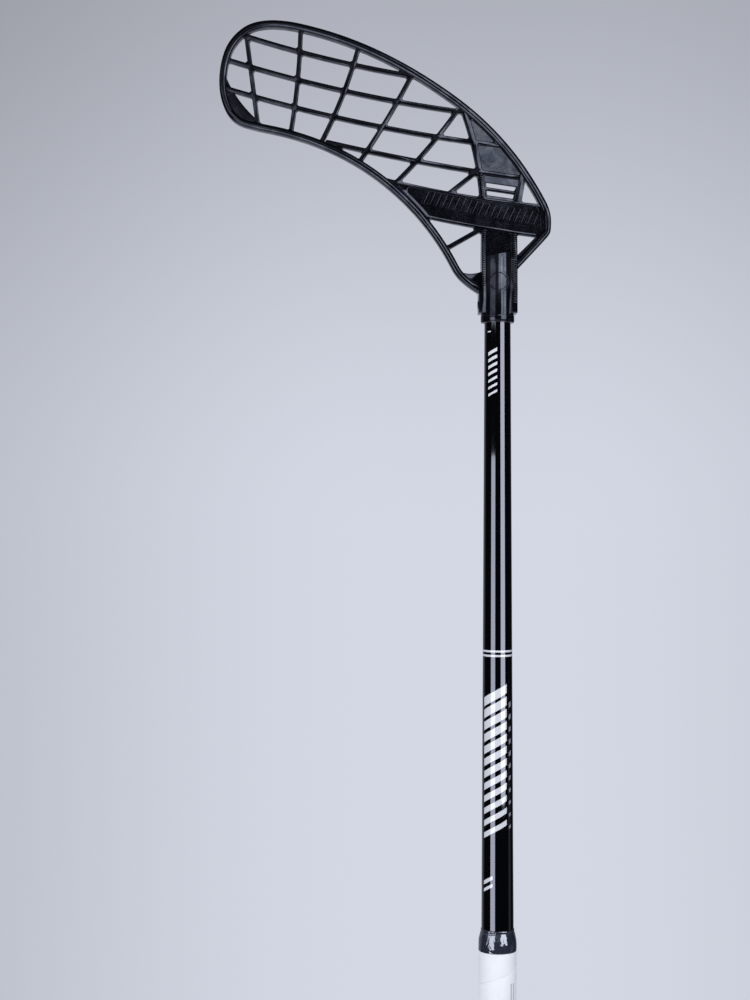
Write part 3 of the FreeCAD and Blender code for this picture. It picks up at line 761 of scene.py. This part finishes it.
def tape():
    """Film tape drawn from the grip's end onto the shaft, with pulled wrinkles and a rolled upper edge."""
    low, high = tape_low.z, tape_high.z
    lap = 0.3 * MM
    gap = 0.01 * MM
    row_height = 0.35
    fold_height = 0.11 * MM
    fold_sink = 0.03 * MM
    folds_round, folds_along, fold_slant = 3.4, 210, 0.9

    # Heights in millimetres above the tape's low end, and the radii there.
    line = [(0, GRIP_RADIUS + 0.04 * MM), (0.3, GRIP_RADIUS + 0.18 * MM), (3, GRIP_RADIUS + 0.24 * MM),
            (6, GRIP_RADIUS + 0.16 * MM), (8.5, GRIP_RADIUS - 0.1 * MM), (11, SHAFT_RADIUS + 1.3 * MM),
            (13, SHAFT_RADIUS + 0.75 * MM), (13.9, SHAFT_RADIUS + 0.42 * MM),
            (14.5, SHAFT_RADIUS + 0.5 * MM), (15.5, SHAFT_RADIUS + 0.46 * MM),
            (16, SHAFT_RADIUS + 0.15 * MM)]
    stretch = (high - low) / line[-1][0]
    outer = []
    for (up, radius), (next_up, next_radius) in zip(line, line[1:]):
        rows = max(1, round((next_up - up) / row_height))
        for row in range(rows):
            share = row / rows
            height = low + (up + (next_up - up) * share) * stretch
            outer.append((radius + (next_radius - radius) * share, height))
    outer.append((line[-1][1], high))
    inner = [(SHAFT_RADIUS + gap, high), (SHAFT_RADIUS + gap, grip_high.z),
             (GRIP_RADIUS - lap, grip_high.z), (GRIP_RADIUS - lap, low)]

    def wrinkle(angle, radius, height):
        """How far the film stands out at a spot. Its inner side is smooth."""
        if (radius, height) in inner:
            return 0
        x, y = math.cos(angle), math.sin(angle)
        spot = Vector((folds_round * x, folds_round * y, folds_along * height + fold_slant * y))
        fold = noise.noise(spot) + 0.5 * noise.noise(spot * 2.3)
        return fold_height * fold - fold_sink

    bm = turned(outer + inner, segments=192, swell=wrinkle)
    return piece_from("grip_end_film", bm, TAPE_FILM, "tape_film", "grip_end_tape", crease=60)


def butt():
    """The end cap: a rounded flange on a hollow stem that plugs the tube."""
    outside, flange, top = cap_high.x, shaft_low.z, cap_high.z
    round_off = 1.3 * MM
    stem = SHAFT_RADIUS - SHAFT_WALL - CAP_STEM_CLEARANCE
    hollow = stem - CAP_STEM_WALL
    profile = [(0, cap_low.z)]
    profile += rounded((outside - round_off, cap_low.z + round_off), round_off, -90, 0, 6)
    profile += rounded((outside - round_off, flange - round_off), round_off, 0, 90, 6)
    profile += [(stem, flange), (stem, top - CAP_STEM_CHAMFER), (stem - CAP_STEM_CHAMFER, top)]
    profile += [(hollow, top), (hollow, flange), (0, flange)]
    bm = turned(profile, segments=96)
    return piece_from("butt_cap_moulded", bm, CAP_PLASTIC, "cap_plastic", "butt_cap")


def bare_solid(node_name, material):
    """A solid that shows as it is, in its own material."""
    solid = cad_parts[node_name]
    solid.data.materials.clear()
    solid.data.materials.append(material)


blade_moulding()
neck_ladders()
band_hatch()
slot_fields()
socket_beads()
shaft()
grip()
tape()
butt()
bare_solid("heel_side_screw", SCREW_STEEL)
bare_solid("toe_side_screw", SCREW_STEEL)
bare_solid("socket_glue_film", GLUE)


# The stage: a pale ground of light, a floor under the butt, soft lamp panels and the camera.

def backdrop():
    """A pale grey-blue ground, darker to its top and sides, for sight and mirrors, and a filling light."""
    world = bpy.data.worlds.new("pale_ground")
    scene.world = world
    world.use_nodes = True
    tree = world.node_tree
    nodes, join = tree.nodes, tree.links.new
    nodes.clear()
    way = nodes.new("ShaderNodeSeparateXYZ")
    join(nodes.new("ShaderNodeTexCoord").outputs["Generated"], way.inputs["Vector"])
    x, y, z = way.outputs
    grade = partial(spread, tree)

    # What the camera sees of the ground.
    shade = product(tree, grade(z, -0.02, 0.4, 1.0, 0.55), grade(x, -0.32, 0.0, 0.72, 1.0),
                    grade(x, 0.1, 0.36, 1.0, 0.82))

    # What the black surfaces mirror of it, dark but for some soft lights.
    edge_light = grade(y, 0.72, 1.0, 0.012, 0.5)
    low_light = product(tree, grade(z, -0.78, -0.46, 1.7, 0.0), grade(z, -0.98, -0.78, 0.35, 1.0))
    toe_gleam = product(tree, grade(z, 0.17, 0.24, 0.0, 0.5), grade(z, 0.35, 0.5, 1.0, 0.0),
                        grade(x, -0.06, 0.04, 1.0, 0.35))
    right_gleam = product(tree, grade(y, -0.2, 0.02, 0.0, 0.2), grade(y, 0.06, 0.42, 1.0, 0.0),
                          grade(x, 0.4, 0.7, 0.0, 1.0), grade(z, -0.22, -0.06, 1.0, 0.0))
    left_glow = product(tree, grade(y, 0.3, 0.95, 0.0, 0.48), grade(x, -0.45, -0.2, 1.0, 0.0))
    mirrored = edge_light
    for light in (low_light, toe_gleam, right_gleam, left_glow):
        mirrored = maths(tree, "MAXIMUM", mirrored, light)

    rays = nodes.new("ShaderNodeLightPath").outputs
    by_camera = rays["Is Camera Ray"]
    seen = maths(tree, "ADD", by_camera, product(tree, mirrored, maths(tree, "SUBTRACT", 1.0, by_camera)))
    shown = nodes.new("ShaderNodeBackground")
    shown.inputs["Color"].default_value = (0.655, 0.683, 0.771, 1)
    join(product(tree, shade, seen), shown.inputs["Strength"])
    filling = nodes.new("ShaderNodeBackground")
    filling.inputs["Color"].default_value = (0.88, 0.91, 1.0, 1)
    join(grade(x, -1.0, 0.9, 0.77, 0.36), filling.inputs["Strength"])
    visible = by_camera
    for kind in ("Is Glossy Ray", "Is Transmission Ray"):
        visible = maths(tree, "MAXIMUM", visible, rays[kind])
    choice = nodes.new("ShaderNodeMixShader")
    join(visible, choice.inputs["Fac"])
    join(filling.outputs["Background"], choice.inputs[1])
    join(shown.outputs["Background"], choice.inputs[2])
    join(choice.outputs["Shader"], nodes.new("ShaderNodeOutputWorld").inputs["Surface"])


def floor():
    """A round pale floor under the butt that keeps the shadow, fades out and hides nothing from below."""
    bm = bmesh.new()
    bmesh.ops.create_circle(bm, cap_ends=True, radius=0.9, segments=96)
    mesh = bpy.data.meshes.new("floor")
    bm.to_mesh(mesh)
    bm.free()
    material = bpy.data.materials.new("pale_floor")
    material.use_nodes = True
    tree = material.node_tree
    nodes, join = tree.nodes, tree.links.new
    shader = nodes["Principled BSDF"]
    shader.inputs["Base Color"].default_value = (0.62, 0.64, 0.7, 1)
    shader.inputs["Roughness"].default_value = 0.8
    reach = nodes.new("ShaderNodeVectorMath")
    reach.operation = "LENGTH"
    join(nodes.new("ShaderNodeTexCoord").outputs["Object"], reach.inputs[0])
    fade = spread(tree, reach.outputs["Value"], 0.15, 0.85, 1.0, 0.0)
    from_below = nodes.new("ShaderNodeNewGeometry").outputs["Backfacing"]
    cover = maths(tree, "MAXIMUM", maths(tree, "SUBTRACT", fade, from_below), 0.0)
    join(cover, shader.inputs["Alpha"])
    mesh.materials.append(material)
    disc = bpy.data.objects.new("floor", mesh)
    ground.objects.link(disc)


def soft_lamp(name, turn, distance, low, high, width, radiance):
    """A tall lamp panel facing the shaft. turn is degrees round to the right of the camera's side."""
    data = bpy.data.lights.new(name, "AREA")
    data.shape = "RECTANGLE"
    data.size, data.size_y = width, high - low
    data.energy = radiance * math.pi * width * (high - low)
    data.color = (0.88, 0.91, 1.0)
    lamp = bpy.data.objects.new(name, data)
    angle = math.radians(turn)
    lamp.location = (distance * math.sin(angle), -distance * math.cos(angle), (low + high) / 2)
    aim = Vector((0, 0, lamp.location.z)) - lamp.location
    lamp.rotation_euler = aim.to_track_quat("-Z", "Y").to_euler()
    lamp.visible_camera = False
    ground.objects.link(lamp)


def camera():
    """The photograph's viewpoint: level, on the shaft's upper half, left of its axis."""
    data = bpy.data.cameras.new("camera")
    data.sensor_width = 36
    data.lens = 62.5
    eye = bpy.data.objects.new("camera", data)
    eye.location = (-88.2 * MM, -1250 * MM, 652.6 * MM)
    eye.rotation_euler = (math.radians(90), 0, 0)
    ground.objects.link(eye)
    scene.camera = eye


scene.view_settings.view_transform = "Standard"
backdrop()
floor()
soft_lamp("right_panel", turn=39.5, distance=1.15, low=0.24, high=1.3, width=0.74, radiance=3.15)
soft_lamp("left_panel", turn=-39.3, distance=1.15, low=0.02, high=0.72, width=0.7, radiance=2.7)
soft_lamp("left_high_panel", turn=-38, distance=1.15, low=0.9, high=1.25, width=0.76, radiance=0.9)
soft_lamp("high_panel", turn=14, distance=1.5, low=1.16, high=2.0, width=0.62, radiance=2.9)
camera()
